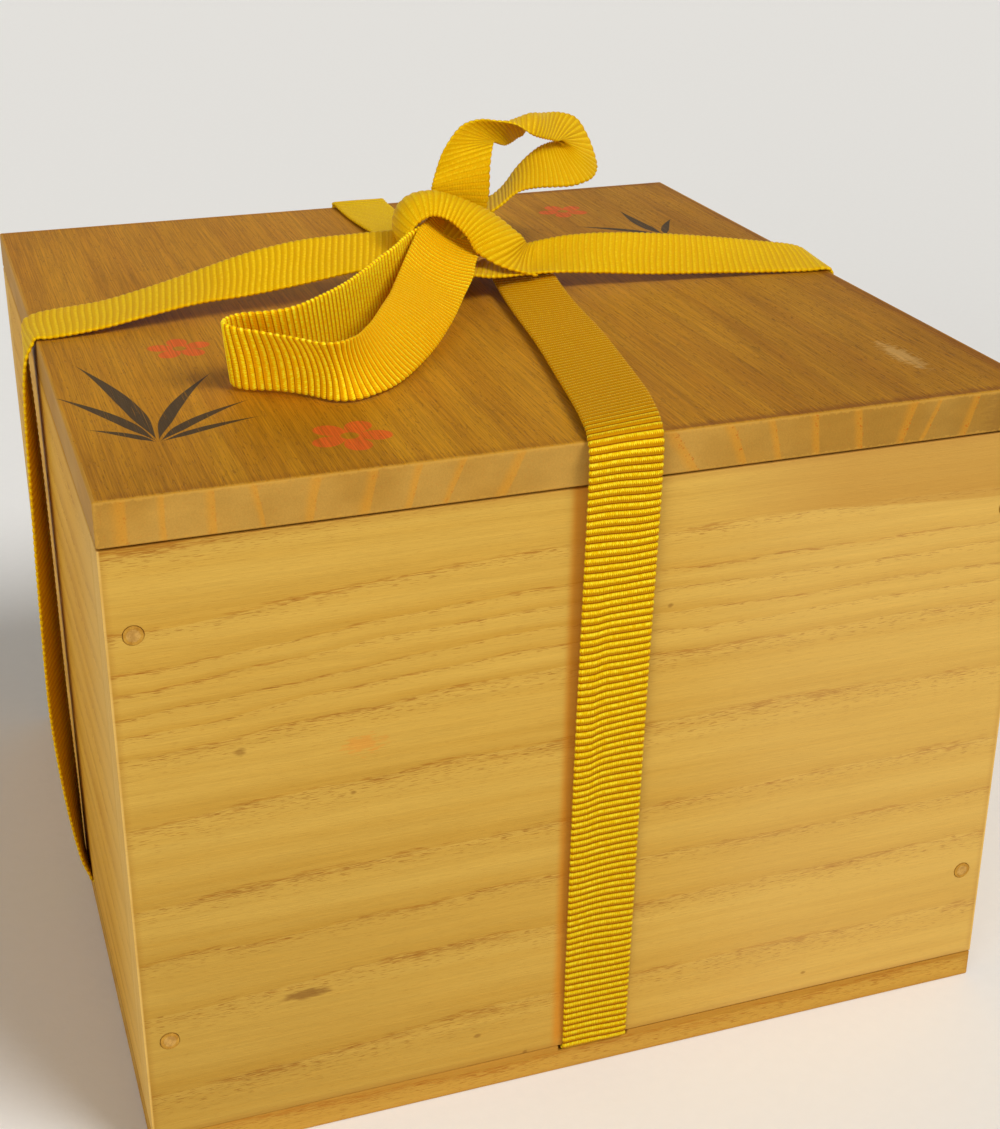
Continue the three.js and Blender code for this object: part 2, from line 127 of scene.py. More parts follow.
def srgb(red, green, blue):
    """A colour as it is read from a screen, 0 to 255, made linear."""
    def linear(level):
        share = level / 255
        if share <= 0.04045:
            return share / 12.92
        return ((share + 0.055) / 1.055) ** 2.4
    return (linear(red), linear(green), linear(blue), 1)


class Value:
    """A number that a material works out at each point of a surface."""

    def __init__(self, graph, socket):
        self.graph = graph
        self.socket = socket

    def __add__(self, other):
        return self.graph.math("ADD", self, other)

    __radd__ = __add__

    def __sub__(self, other):
        return self.graph.math("SUBTRACT", self, other)

    def __rsub__(self, other):
        return self.graph.math("SUBTRACT", other, self)

    def __mul__(self, other):
        return self.graph.math("MULTIPLY", self, other)

    __rmul__ = __mul__

    def __truediv__(self, other):
        return self.graph.math("DIVIDE", self, other)

    def __pow__(self, other):
        return self.graph.math("POWER", self, other)

    def __abs__(self):
        return self.graph.math("ABSOLUTE", self)

    def fraction(self):
        return self.graph.math("FRACT", self)

    def least(self, other):
        return self.graph.math("MINIMUM", self, other)

    def most(self, other):
        return self.graph.math("MAXIMUM", self, other)

    def between(self, low, high):
        """0 up to low, 1 from high on, and a smooth step between them. High may be the lower."""
        return self.graph.step(self, low, high)


class Graph:
    """The nodes of one material."""

    def __init__(self, name, **constants):
        self.material = bpy.data.materials.new(name)
        self.material.use_nodes = True
        self.tree = self.material.node_tree
        self.shader = self.tree.nodes["Principled BSDF"]
        for label, amount in constants.items():
            self.shader.inputs[label.replace("_", " ")].default_value = amount
        self.coordinates = self.tree.nodes.new("ShaderNodeTexCoord")

    def feed(self, socket, value):
        if isinstance(value, Value):
            value = value.socket
        if isinstance(value, bpy.types.NodeSocket):
            self.tree.links.new(value, socket)
        else:
            socket.default_value = value

    def node(self, kind, inputs, **settings):
        made = self.tree.nodes.new(kind)
        for label, setting in settings.items():
            setattr(made, label, setting)
        for label, value in inputs.items():
            self.feed(made.inputs[label], value)
        return made

    def math(self, operation, *values):
        inputs = dict(enumerate(values))
        made = self.node("ShaderNodeMath", inputs, operation=operation)
        return Value(self, made.outputs[0])

    def step(self, value, low, high):
        inputs = {"Value": value, "From Min": low, "From Max": high}
        made = self.node("ShaderNodeMapRange", inputs, interpolation_type="SMOOTHSTEP")
        return Value(self, made.outputs[0])

    def split(self, vector, scale):
        """The three parts of a vector, each times a scale."""
        made = self.node("ShaderNodeSeparateXYZ", {0: vector})
        return [Value(self, output) * scale for output in made.outputs]

    def place(self):
        """Where the point is on the resting object, in millimetres."""
        return self.split(self.coordinates.outputs["Object"], 1 / MM)

    def facing(self):
        return self.split(self.coordinates.outputs["Normal"], 1)

    def noise(self, x, y, z, detail=2.0, roughness=0.5):
        """Soft noise round 0.5, with one blot for each unit of x, y and z."""
        vector = self.node("ShaderNodeCombineXYZ", {0: x, 1: y, 2: z}).outputs[0]
        inputs = {"Vector": vector, "Scale": 1.0, "Detail": detail, "Roughness": roughness}
        return Value(self, self.node("ShaderNodeTexNoise", inputs).outputs[0])

    def table(self, value, points):
        """Straight lines between (input, output) points, whose inputs rise and whose outputs
        aren't below 0."""
        first, last = points[0][0], points[-1][0]
        top = max(level for _, level in points)
        share = (value - first) / (last - first)
        ramp = self.node("ShaderNodeValToRGB", {0: share})
        stops = ramp.color_ramp.elements
        for index, (start, level) in enumerate(points):
            spot = (start - first) / (last - first)
            stop = stops[index] if index < 2 else stops.new(spot)
            stop.position = spot
            stop.color = (level / top, level / top, level / top, 1)
        return Value(self, ramp.outputs[0]) * top

    def mix(self, share, first, second, blend="MIX"):
        inputs = {0: share, 6: first, 7: second}
        made = self.node(
            "ShaderNodeMix", inputs, data_type="RGBA", blend_type=blend, clamp_factor=True)
        return made.outputs[2]

    def shade(self, colour, level):
        """The colour, times a level."""
        return self.mix(1.0, colour, level, "MULTIPLY")

    def finish(self, colour, roughness, relief, depth):
        """Sets the colour, the roughness and a relief, whose 0 to 1 stands out by the depth."""
        self.feed(self.shader.inputs["Base Color"], colour)
        self.feed(self.shader.inputs["Roughness"], roughness)
        inputs = {"Height": relief, "Distance": depth * MM, "Strength": 1.0}
        bump = self.node("ShaderNodeBump", inputs)
        self.feed(self.shader.inputs["Normal"], bump.outputs[0])
        return self.material


# Wood

# Tones of the bare paulownia: fresh, late in a growth ring, its thin dark line, pores
PALE = srgb(220, 176, 80)
TAN = srgb(200, 150, 54)
RING_LINE = srgb(166, 100, 26)
PORE = srgb(150, 86, 20)
# Pairs of fresh and late tones: most boards, the left wall and the base board, whose pair is
# darkened as painted shade
FRESH = (PALE, TAN)
SHADY = (srgb(222, 170, 62), srgb(198, 142, 42))
BASE_PAINTED_SHADE = (srgb(202, 156, 66), srgb(180, 130, 44))
WOOD_GLOSS = 0.06


def edge_distance(place, node):
    """How far a point of a board's surface is from the board's nearest edge."""
    low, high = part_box(node)
    gaps = []
    for spot, least, most in zip(place, low, high):
        gaps.append((spot - least / MM).least(most / MM - spot))
    a, b, c = gaps
    return a.least(b).most(a.most(b).least(c))


def wood(name, node, grain, rings, seed, tones=FRESH, marks=None):
    """Planed paulownia. grain puts a place in (length, side, through) order, rings counts the
    growth rings from these three, and marks adds a board's own stains, with painted light and
    shade on the front wall."""
    g = Graph(name, Specular_IOR_Level=WOOD_GLOSS)
    place = g.place()
    length, side, through = grain(*place)

    def streaks(along, across, detail=2.0, roughness=0.5):
        """Noise drawn out along the grain."""
        return g.noise(length * along + seed, side * across, through * across, detail, roughness)

    # Growth rings, each with a fresh and a late part and a broken dark line between two of them
    sway = streaks(0.012, 0.03) - 0.5
    wobble = streaks(0.07, 0.2, detail=3) - 0.5
    fuzz = streaks(0.5, 2.4) - 0.5
    ring = rings(g, length, side + sway * 5 + wobble * 1.8 + fuzz * 0.35, through)
    phase = ring.fraction()
    late = phase.between(0.5, 0.03)
    early = phase.between(0.6, 0.98)
    broken = streaks(0.09, 0.5, detail=3)
    dashes = streaks(0.35, 6.0)
    close = phase.between(0.84, 0.98).most(phase.between(0.08, 0.02)) * broken.between(0.3, 0.65)
    line = (dashes + close * 0.16).between(0.56, 0.7) * close

    # Finer and finer variation, down to the pores
    patches = streaks(0.012, 0.05, detail=3)
    bands = streaks(0.006, 0.33, detail=3)
    fibres = streaks(0.06, 2.6, detail=4, roughness=0.65)
    hairs = streaks(0.3, 7.0)
    flecks = streaks(0.5, 6.0, detail=1)
    pore = (flecks + early * 0.05).between(0.62, 0.7) * (0.25 + 0.75 * early)

    pale, tan = tones
    colour = g.mix(late * 0.4 + (bands - 0.5) * 1.1 + 0.26, pale, tan)
    colour = g.mix(patches.between(0.45, 0.75) * 0.3, colour, tan)
    colour = g.mix(line * 0.62, colour, RING_LINE)
    colour = g.mix(pore * 0.55, colour, PORE)
    colour = g.shade(colour, 0.86 + 0.28 * fibres)
    colour = g.shade(colour, 0.92 + 0.16 * hairs)
    edge = edge_distance(place, node)
    colour = g.mix(edge.between(1.6, 0.2) * (0.15 + 0.25 * patches), colour, RING_LINE)
    if marks:
        colour = marks(g, place, colour)

    relief = 0.5 + (fibres - 0.5) * 0.6 + (hairs - 0.5) * 0.4 - pore * 0.15 - line * 0.1
    roughness = 0.52 + 0.12 * patches + 0.1 * pore
    return g.finish(colour, roughness, relief, 0.1)


def along_x(x, y, z):
    """Length, side and through, where the grain runs from left to right."""
    return x, z, y


def along_y(x, y, z):
    """Length, side and through, where the grain runs from front to back."""
    return y, z, x


# Heights of the front wall's growth lines, as the photograph shows them
FRONT_LINES = [0, 18, 33.7, 43.7, 54.4, 70.1, 83.3, 87.5, 90.8, 94.9, 98.2, 105, 118]


def front_rings(g, length, side, through):
    """The front wall's growth rings, whose lines rise a little on the left."""
    rise = length.between(-7, -84) * 3.2
    height = side + rise + (through + HALF_DEPTH) * 0.25
    points = [(line, index) for index, line in enumerate(FRONT_LINES)]
    return g.table(height, points)


def even_rings(spacing, slant, shift):
    """Growth rings at an even spacing across a board, which slant through its thickness."""
    def rings(g, length, side, through):
        uneven = g.noise(side * 0.035 + shift, 0.0, 0.0, detail=1)
        return (side + through * slant) / spacing + uneven * 2.2 + shift
    return rings


def blot(g, place, centre, size, ragged=0.25):
    """A soft, ragged spot round a centre (x, z), of a size (across, up)."""
    x, _, z = place
    across = (x - centre[0]) / size[0]
    up = (z - centre[1]) / size[1]
    uneven = (g.noise(x * 0.5, z * 1.8, 0.0, detail=3) - 0.5) * ragged * 4
    distance = g.math("SQRT", across * across + up * up) + uneven
    return distance.between(1.0, 0.35)


# Marks on the front wall
# Painted light on the front wall's right side
PAINTED_LIGHT_PALE = srgb(222, 184, 116)
STRIP_BROWN = srgb(178, 122, 44)
# A painted orange shadow of the ribbon on the front wall
PAINTED_RIBBON_SHADOW = srgb(206, 120, 12)
KNOT_BROWN = srgb(132, 88, 36)
SMUDGE_ORANGE = srgb(224, 128, 40)
SPECK_BROWN = srgb(130, 84, 30)
# Each speck's place (x, z) and size
SPECKS = [
    ((-22, 12), 0.9), ((-61, 78), 1.3), ((43, 9.5), 0.7), ((-13, 6), 0.7), ((-43, 67), 0.7),
    ((12, 92), 0.7),
]
# How far the ribbon on the front wall leans to the right on each millimetre up
RIBBON_LEAN = 0.0185
# The marks come in between these two depths, just inside the outer face
OUTER_FACE = (-79.5, -80.5)
# The left wall's paler tone toward its front corner
FRONT_CORNER_PALE = srgb(226, 186, 104)
# Cut ends of the boards: their pale wood, its darker rings and its pores
END_WOOD = srgb(226, 184, 100)
END_RINGS = srgb(204, 154, 66)
END_PORES = srgb(160, 110, 44)


def front_marks(g, place, colour):
    """The front wall's outer face carries painted shade, darkest low down on the left, and
    painted light, paler on the right. It has a browner strip at the upper right, a painted orange
    shadow of the ribbon beside it, a small knot, a faded smudge and a few specks."""
    x, y, z = place
    unmarked = colour
    low = z.between(115, 0)
    left = x.between(75, -80)
    # Painted shade: darker low down and toward the left
    colour = g.shade(colour, 0.98 - 0.06 * left - 0.07 * low - 0.11 * low * left)
    # Painted light: paler toward the right
    colour = g.mix(x.between(0, 40) * 0.2, colour, PAINTED_LIGHT_PALE)
    strip = (z + x.between(20, 80) * 3).between(106, 106.6) * x.between(12, 46)
    colour = g.mix(strip * 0.46, colour, STRIP_BROWN)
    # Painted shadow, orange, just left of the ribbon on the wall
    aside = x - RIBBON_LEAN * z
    ribbon_shadow_mask = aside.between(-8.6, -7.0) * aside.between(-4.6, -5.6) * z.between(3, 9)
    colour = g.mix(ribbon_shadow_mask * 0.6, colour, PAINTED_RIBBON_SHADOW)
    knot = blot(g, place, (-52.5, 29), (5.5, 1.3))
    colour = g.mix(knot * 0.75, colour, KNOT_BROWN)
    smudge = blot(g, place, (-41, 75.6), (4.2, 2.2), ragged=0.6)
    colour = g.mix(smudge * 0.34, colour, SMUDGE_ORANGE)
    for centre, size in SPECKS:
        speck = blot(g, place, centre, (size, size * 0.7))
        colour = g.mix(speck * 0.55, colour, SPECK_BROWN)
    colour = g.mix(y.between(*OUTER_FACE), unmarked, colour)
    return end_grain(g, place, colour)


def end_grain(g, place, colour):
    """The paler cut ends of the front and back walls, as the side walls stop between them."""
    x, y, z = place
    ends = abs(x).between(HALF_WIDTH - 0.5, HALF_WIDTH - 0.2)
    rings = g.noise(y * 0.9 + z * 0.12, z * 0.02, 0.0).between(0.4, 0.62)
    dots = g.noise(y * 4, z * 4, 0.0, detail=1).between(0.6, 0.72)
    pale = g.mix(rings * 0.4, END_WOOD, END_RINGS)
    pale = g.mix(dots * 0.3, pale, END_PORES)
    return g.mix(ends * 0.85, colour, pale)


def left_marks(g, place, colour):
    """The left wall is paler toward its front corner."""
    _, y, _ = place
    return g.mix(y.between(-38, -76) * 0.5, colour, FRONT_CORNER_PALE)


# Growth rings on the lid's front edge: where each meets the top, and how far it runs to the
# right on its way down
EDGE_RINGS = [
    (-86, 0), (-75, 0), (-69.5, 0), (-62, 0), (-56, 2), (-45.5, -2.5), (-37, -1.5), (-30, -2.5),
    (-23, -4), (-13, -4), (0, 0), (12, 5), (22, 3.5), (29, 2), (37, 0.7), (45, 1), (56, -3.5),
    (60.5, -3), (68, -2), (76, -2), (88, -2),
]
LEAST_SLANT = -5


def edge_rings(g, x, z):
    """The count of growth rings on the lid's front and back edges."""
    slants = [(start, slant - LEAST_SLANT) for start, slant in EDGE_RINGS]
    counts = [(start, index) for index, (start, _) in enumerate(EDGE_RINGS)]
    down = (LID_TOP - z) / (LID_TOP - LID_BOTTOM)
    slant = g.table(x, slants) + LEAST_SLANT
    return g.table(x - slant * down, counts)


# A brushed spray of grass: its root, then for each blade its heading in degrees, its length,
# how far its tip bends aside and half its width
SPRAYS = {
    (-67, -60): [
        (93, 47, 7, 1.5), (78, 37, -9, 1.3), (106, 33, 7, 1.2), (57, 25, -8, 1.2),
        (33, 21, -5, 1.0), (124, 15, 4, 0.9),
    ],
    (60, 32): [(102, 27, -5, 1.3), (128, 24, 6, 1.1), (74, 17, -4, 1.0), (154, 15, 4, 0.9)],
}
# Blossoms of five petals: middle, radius and turn in degrees
BLOSSOMS = [((-56, -14), 6, 20), ((-38, -66.5), 7, 50), ((46, 60), 6, 0)]
INK = srgb(46, 38, 24)
VERMILION = srgb(222, 92, 32)


def blade(x, y, root, heading, length, bend, width):
    """1 inside a tapered brush stroke from a root, 0 outside."""
    turn = math.radians(heading)
    east = x - root[0]
    north = y - root[1]
    along = (east * math.cos(turn) + north * math.sin(turn)) / length
    aside = north * math.cos(turn) - east * math.sin(turn) - along * along * bend
    half = along.between(-0.02, 0.3) * along.between(1.0, 0.4) * width
    return (half - abs(aside)).between(0.02, 0.2)


def blossom(g, x, y, middle, radius, turn):
    """1 inside the petals of a small blossom, 0 outside and on the gaps between them."""
    east = x - middle[0]
    north = y - middle[1]
    out = g.math("SQRT", east * east + north * north) / radius
    angle = g.math("ARCTAN2", north, east) + math.radians(turn)
    swell = abs(g.math("SINE", angle * 2.5))
    petals = (0.25 + 0.75 * swell ** 0.5 - out).between(0.0, 0.06)
    return petals * out.between(0.18, 0.24)


def brushwork(g, x, y, colour, fibres):
    """Sprays of grass in ink and blossoms in red, soaked into the wood."""
    ink = 0.0
    for root, blades in SPRAYS.items():
        for shape in blades:
            stroke = blade(x, y, root, *shape)
            ink = stroke.most(ink)
    colour = g.mix(ink * (0.5 + 0.5 * fibres.between(0.3, 0.42)) * 0.92, colour, INK)
    red = 0.0
    for shape in BLOSSOMS:
        red = blossom(g, x, y, *shape).most(red)
    return g.mix(red * (0.4 + 0.6 * fibres.between(0.3, 0.45)) * 0.85, colour, VERMILION)


# The lid's top: its bands, then what darkens it, then what bares it
TOASTED = srgb(198, 137, 22)
WELL_TOASTED = srgb(184, 122, 16)
TOASTED_PATCH = srgb(160, 102, 14)
GRIMY_CORNER = srgb(136, 86, 22)
TOP_RING_LINE = srgb(126, 76, 12)
TOP_PORE = srgb(104, 62, 10)
DIRT = srgb(104, 62, 16)
RIM_BROWN = srgb(124, 66, 10)
SCRATCHED = srgb(212, 168, 96)
BARE_EDGE = srgb(206, 154, 62)
# The lid's edges
END_PALE = srgb(200, 152, 68)
END_TAN = srgb(184, 134, 52)
END_RING_LINE = srgb(214, 142, 30)
END_DOT = srgb(186, 98, 24)
END_DARK = srgb(120, 82, 36)
LID_SEED = 3.7


def lid_streaks(g, place, along, across, detail=2.0, roughness=0.5):
    """Noise drawn out along the lid's grain, which runs from front to back."""
    x, y, z = place
    return g.noise(y * along, x * across, z * across + LID_SEED, detail, roughness)


def lid_pores(g, place):
    return lid_streaks(g, place, 0.6, 3.6, detail=1).between(0.62, 0.72)


def lid_top(g, place, phase, patches, streaks):
    """The colour of the lid's top, dirtier in its near left corner and on the right, where it
    also has a pale scratch."""
    x, y, _ = place
    bands = lid_streaks(g, place, 0.008, 0.22, detail=3)
    dirt = lid_streaks(g, place, 0.16, 0.5, detail=3).between(0.62, 0.78)
    pore = lid_pores(g, place)
    colour = g.mix(bands.between(0.3, 0.7), TOASTED, WELL_TOASTED)
    colour = g.mix(patches.between(0.4, 0.7) * 0.5, colour, TOASTED_PATCH)
    corner = x.between(-30, -70) * y.between(-40, -76) * dirt.most(0.4)
    colour = g.mix(corner * 0.5, colour, GRIMY_CORNER)
    colour = g.mix(phase.between(0.8, 0.97) * 0.14, colour, TOP_RING_LINE)
    right = x.between(5, 70)
    colour = g.shade(colour, 1 - 0.14 * right)
    colour = g.mix(pore * (0.35 + 0.25 * right), colour, TOP_PORE)
    colour = g.mix(dirt * right * y.between(60, -40) * 0.45, colour, DIRT)
    scratch = blot(g, (x, 0, y), (65.5, -59), (2.6, 9.5), ragged=0.5)
    colour = g.mix(scratch * 0.6, colour, SCRATCHED)
    return g.shade(colour, 0.86 + 0.28 * streaks)


def lid_ends(g, place, phase, patches):
    """The colour of the lid's edges: cloudy end grain with dotted orange ring lines, and a dark
    spot near the right end of the front edge."""
    x, y, z = place
    cloudy = g.noise(x * 0.12, y * 0.1, z * 0.3 + LID_SEED, detail=3)
    colour = g.mix(patches.between(0.35, 0.65), END_PALE, END_TAN)
    colour = g.shade(colour, 0.74 + 0.3 * cloudy - 0.18 * x.between(10, 90))
    line = phase.between(0.72, 0.9) * phase.between(1.0, 0.95)
    colour = g.mix(line * 0.42, colour, END_RING_LINE)
    dots = g.noise(x * 2.6, y * 0.5, z * 2.6, detail=1).between(0.62, 0.7)
    near = phase.between(0.84, 0.92) * (0.3 + 0.7 * x.between(-10, 20))
    colour = g.mix(dots * (0.12 + 0.75 * near), colour, END_DOT)
    dark = blot(g, (x, 0, z), (74, 119), (6, 9), ragged=0.5)
    return g.mix(dark * 0.3, colour, END_DARK)


def worn_rim(g, place, node, colour, top, streaks, fibres):
    """The frayed dark rim round the lid's top, and the bare wood right on the lid's edges."""
    x, _, _ = place
    edge = edge_distance(place, node)
    fray = edge + (streaks - 0.5) * 4 + (fibres - 0.5) * 2
    rim = fray.between(3.2, 1.2) * edge.between(0.5, 0.9) * top
    colour = g.mix(rim * (0.35 + 0.65 * x.between(-5, 20)) * 0.6, colour, RIM_BROWN)
    bare = (edge + (streaks - 0.5) * 1.6).between(0.6, 0.3)
    return g.mix(bare * 0.5, colour, BARE_EDGE)


def lid_wood(name, node):
    """The lid's toasted top with its painting, and the slanting rings of its end grain."""
    g = Graph(name, Specular_IOR_Level=WOOD_GLOSS)
    place = g.place()
    x, y, z = place
    _, _, up = g.facing()
    top = up.between(0.55, 0.8)
    sway = (lid_streaks(g, place, 0.01, 0.03) - 0.5) * 6
    wobble = (lid_streaks(g, place, 0.05, 0.4) - 0.5) * 1.2
    phase = edge_rings(g, x + (sway + wobble) * (0.25 + 0.75 * top), z).fraction()
    patches = lid_streaks(g, place, 0.014, 0.04, detail=3)
    streaks = lid_streaks(g, place, 0.035, 1.4, detail=4, roughness=0.65)
    fibres = lid_streaks(g, place, 0.07, 4.0, detail=3, roughness=0.6)
    hairs = lid_streaks(g, place, 0.3, 8.0)

    toasted = brushwork(g, x, y, lid_top(g, place, phase, patches, streaks), fibres)
    colour = g.mix(top, lid_ends(g, place, phase, patches), toasted)
    depth = 0.1 + 0.3 * top
    colour = g.shade(colour, 1 + (fibres.between(0.3, 0.7) - 0.5) * depth)
    colour = g.shade(colour, 1 + (hairs - 0.5) * depth * 0.5)
    colour = worn_rim(g, place, node, colour, top, streaks, fibres)

    pits = lid_pores(g, place) * 0.4 * top
    relief = 0.5 + (fibres - 0.5) * depth * 1.6 + (hairs - 0.5) * depth - pits
    return g.finish(colour, 0.5 + 0.12 * patches, relief, 0.12)


# The cut end of a peg: its core, its browner rim and the dots on both
CORE_TONES = (srgb(206, 160, 82), srgb(176, 130, 62))
RIM_TONES = (srgb(198, 148, 58), srgb(176, 124, 42))
PEG_DOT = srgb(140, 96, 40)


def axis_distance(g, place, node):
    """How far a point of a peg is from the peg's axis, which runs along its longest side."""
    low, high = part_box(node)
    spans = [most - least for least, most in zip(low, high)]
    squares = 0.0
    for axis, spot in enumerate(place):
        if spans[axis] < max(spans):
            away = spot - (low[axis] + high[axis]) / 2 / MM
            squares = away * away + squares
    return g.math("SQRT", squares)


def peg_wood(name, node):
    """The planed end grain of a wooden peg, pale in the middle, with a browner rim."""
    g = Graph(name, Specular_IOR_Level=WOOD_GLOSS)
    place = g.place()
    x, y, z = place
    blots = g.noise(x * 0.9, y * 0.9, z * 0.9, detail=3).between(0.3, 0.7)
    dots = g.noise(x * 5, y * 5, z * 5, detail=1)
    rim = (axis_distance(g, place, node) + (dots - 0.5) * 0.5).between(0.95, 1.15)
    colour = g.mix(rim, g.mix(blots, *CORE_TONES), g.mix(blots, *RIM_TONES))
    colour = g.mix(dots.between(0.6, 0.72) * 0.5, colour, PEG_DOT)
    return g.finish(colour, 0.6, dots, 0.06)


def dress(name, material):
    """Gives a CAD solid its material, and joins the points that its triangles share."""
    solid = nodes[name]
    solid.data.materials.clear()
    solid.data.materials.append(material)
    weld = solid.modifiers.new("weld", "WELD")
    weld.merge_threshold = 0.01 * MM
    return solid


def dress_board(name, material, bevel):
    """Gives a board its wood and softens its edges. Its sides are made whole before that, and
    shaded flat after it."""
    board = dress(name, material)
    whole = board.modifiers.new("whole_sides", "DECIMATE")
    whole.decimate_type = "DISSOLVE"
    whole.angle_limit = math.radians(1)
    soft = board.modifiers.new("soft_edges", "BEVEL")
    soft.width = bevel * MM
    soft.segments = 3
    soft.limit_method = "ANGLE"
    soft.angle_limit = math.radians(40)
    soft.use_clamp_overlap = False
    board.modifiers.new("flat_sides", "WEIGHTED_NORMAL")


def dress_peg(name):
    """Gives a peg its wood and lets it stand a little proud of its hole, as if driven tight."""
    peg = dress(name, peg_wood(f"{name}_wood", name))
    swell = peg.modifiers.new("driven_tight", "DISPLACE")
    swell.strength = 0.11 * MM
    swell.mid_level = 0


# Each board's grain, growth rings, seed, tones, marks and bevel
BOARDS = {
    "front_wall": (along_x, front_rings, 0.0, FRESH, front_marks, 0.15),
    "back_wall": (along_x, even_rings(9, 0.5, 1.3), 11.0, FRESH, end_grain, 0.15),
    "left_wall": (along_y, even_rings(8, 0.4, 2.1), 23.0, SHADY, left_marks, 0.25),
    "right_wall": (along_y, even_rings(10, 0.6, 0.4), 37.0, FRESH, None, 0.25),
    "base_board": (along_x, even_rings(14, 0.9, 0.8), 51.0, BASE_PAINTED_SHADE, None, 0.35),
    "lid_batten_front": (along_x, even_rings(7, 0.3, 0), 60.0, FRESH, None, 0.4),
    "lid_batten_back": (along_x, even_rings(7, 0.3, 1), 67.0, FRESH, None, 0.4),
    "lid_batten_left": (along_y, even_rings(7, 0.3, 2), 74.0, FRESH, None, 0.4),
    "lid_batten_right": (along_y, even_rings(7, 0.3, 3), 81.0, FRESH, None, 0.4),
}


def dress_wood():
    for name, (grain, rings, seed, tones, marks, bevel) in BOARDS.items():
        dress_board(name, wood(f"{name}_wood", name, grain, rings, seed, tones, marks), bevel)
    dress_board("lid_board", lid_wood("lid_board_wood", "lid_board"), 0.45)
    for name in nodes:
        if "_peg_" in name:
            dress_peg(name)


# Ribbon

RIBBON_WIDTH = 12.2
RIB_PITCH = 1.3
GROOVE_THICKNESS = 0.28
RIB_HEIGHT = 0.48
# How much of the ribs' height is left where the ribbon is pulled taut
TAUT = 0.6
SELVEDGE_SCALLOP = 0.2
# Where along a rib the mesh has a row, and how high the rib is there
RIB_ROWS = [(0.0, 0.0), (0.11, 0.4), (0.29, 0.82), (0.5, 1.0), (0.71, 0.82), (0.89, 0.4)]
# How far across the ribbon the mesh has a column, from -1 to 1, closer near the selvedges
COLUMNS = 15
SHARES = np.sin(np.linspace(-0.5, 0.5, COLUMNS) * math.pi * 0.82) / math.sin(math.pi * 0.41)
THREAD_PITCH = 0.34

# Yellows of the cloth: two of its body, its body in painted shade, the painted light on the rib
# tips, their painted glints and the grooves' painted shade
BODY = srgb(230, 180, 0)
BODY_LIGHT = srgb(238, 194, 0)
PAINTED_SHADE_BODY = srgb(208, 140, 0)
PAINTED_LIT_TIPS = srgb(254, 212, 6)
PAINTED_GLINTS = srgb(255, 232, 48)
PAINTED_GROOVE_SHADE = srgb(150, 76, 0)


def ribbon_material(name, contrast, level=1.0):
    """Yellow grosgrain that lets a little light through: ribs across, fine warp threads along,
    orange painted shade in the grooves, painted light with glints on one side of each rib, and
    painted shade toward the bottom. contrast is how much of that shows, and level is a painted
    brightness that makes lit and shaded copies of the cloth."""
    g = Graph(
        name, Metallic=0.15, Specular_IOR_Level=0.03, Sheen_Weight=0.06,
        Sheen_Roughness=0.4, Sheen_Tint=(1.0, 0.75, 0.15, 1),
        Subsurface_Weight=0.3, Subsurface_Scale=0.8 * MM, Subsurface_Radius=(1.0, 0.6, 0.05))
    across, along, _ = g.split(g.coordinates.outputs["UV"], 1.0)
    rib = (along / RIB_PITCH).fraction()
    uneven = g.noise(across * 0.8, along * 0.5, 0.0)
    thread = g.math("SINE", across * (2 * math.pi / THREAD_PITCH) + uneven * 7)
    flecks = g.noise(across * 3.4, along * 1.4, 0.0)
    drift = g.noise(across * 0.1, along * 0.05, 4.0, detail=3)
    groove_shade_mask = rib.between(0.1, 0.02).most(rib.between(0.86, 0.98))
    lit_tips_mask = (rib - thread * 0.05).between(0.06, 0.17) * (rib + thread * 0.11).between(0.54, 0.4)
    body = g.mix(drift.between(0.35, 0.7) * 0.5, BODY, BODY_LIGHT)
    # Painted shade on the body, and painted light with glints on one side of each rib
    colour = g.mix(contrast * 0.9, body, PAINTED_SHADE_BODY)
    colour = g.mix(lit_tips_mask * contrast * 0.9, colour, PAINTED_LIT_TIPS)
    colour = g.mix(lit_tips_mask * flecks.between(0.42, 0.6) * contrast * 0.9, colour, PAINTED_GLINTS)
    # Painted shade in the grooves
    colour = g.mix(groove_shade_mask * contrast ** 2, colour, PAINTED_GROOVE_SHADE)
    colour = g.shade(colour, 1 + (flecks - 0.5) * 0.24 * contrast)
    # Painted shade: darker toward the bottom
    _, _, height = g.place()
    colour = g.shade(colour, level * (1 - 0.16 * height.between(110, 0)))
    relief = 0.5 + 0.3 * thread + 0.3 * lit_tips_mask + (flecks - 0.5) * 0.5
    return g.finish(colour, 0.42 + 0.16 * flecks, relief, 0.1)


# Lit and shaded copies of one cloth: the bow's is painted brighter, the run's painted a little
# darker
RUN_CLOTH_PAINTED_DARKER = ribbon_material("yellow_grosgrain", contrast=1.0, level=0.92)
BOW_CLOTH_PAINTED_BRIGHTER = ribbon_material("yellow_grosgrain_bow", contrast=0.8, level=1.36)
TAUT_CLOTH = ribbon_material("yellow_grosgrain_taut", contrast=0.35)


def smooth_path(rows, steps=24):
    """Catmull-Rom curve through rows of numbers."""
    rows = np.array(rows, float)
    padded = np.vstack([2 * rows[0] - rows[1], rows, 2 * rows[-1] - rows[-2]])
    spans = []
    for index in range(len(rows) - 1):
        a, b, c, d = padded[index:index + 4]
        t = np.linspace(0, 1, steps, endpoint=False)[:, None]
        spans.append(0.5 * (
            2 * b + (c - a) * t + (2 * a - 5 * b + 4 * c - d) * t ** 2
            + (3 * b - a - 3 * c + d) * t ** 3))
    spans.append(rows[-1:])
    return np.vstack(spans)


def unit(vectors):
    return vectors / np.linalg.norm(vectors, axis=1, keepdims=True)


def run_up(points):
    """How far along a line each of its points is."""
    gaps = np.linalg.norm(np.diff(points, axis=0), axis=1)
    return np.concatenate([[0], np.cumsum(gaps)])


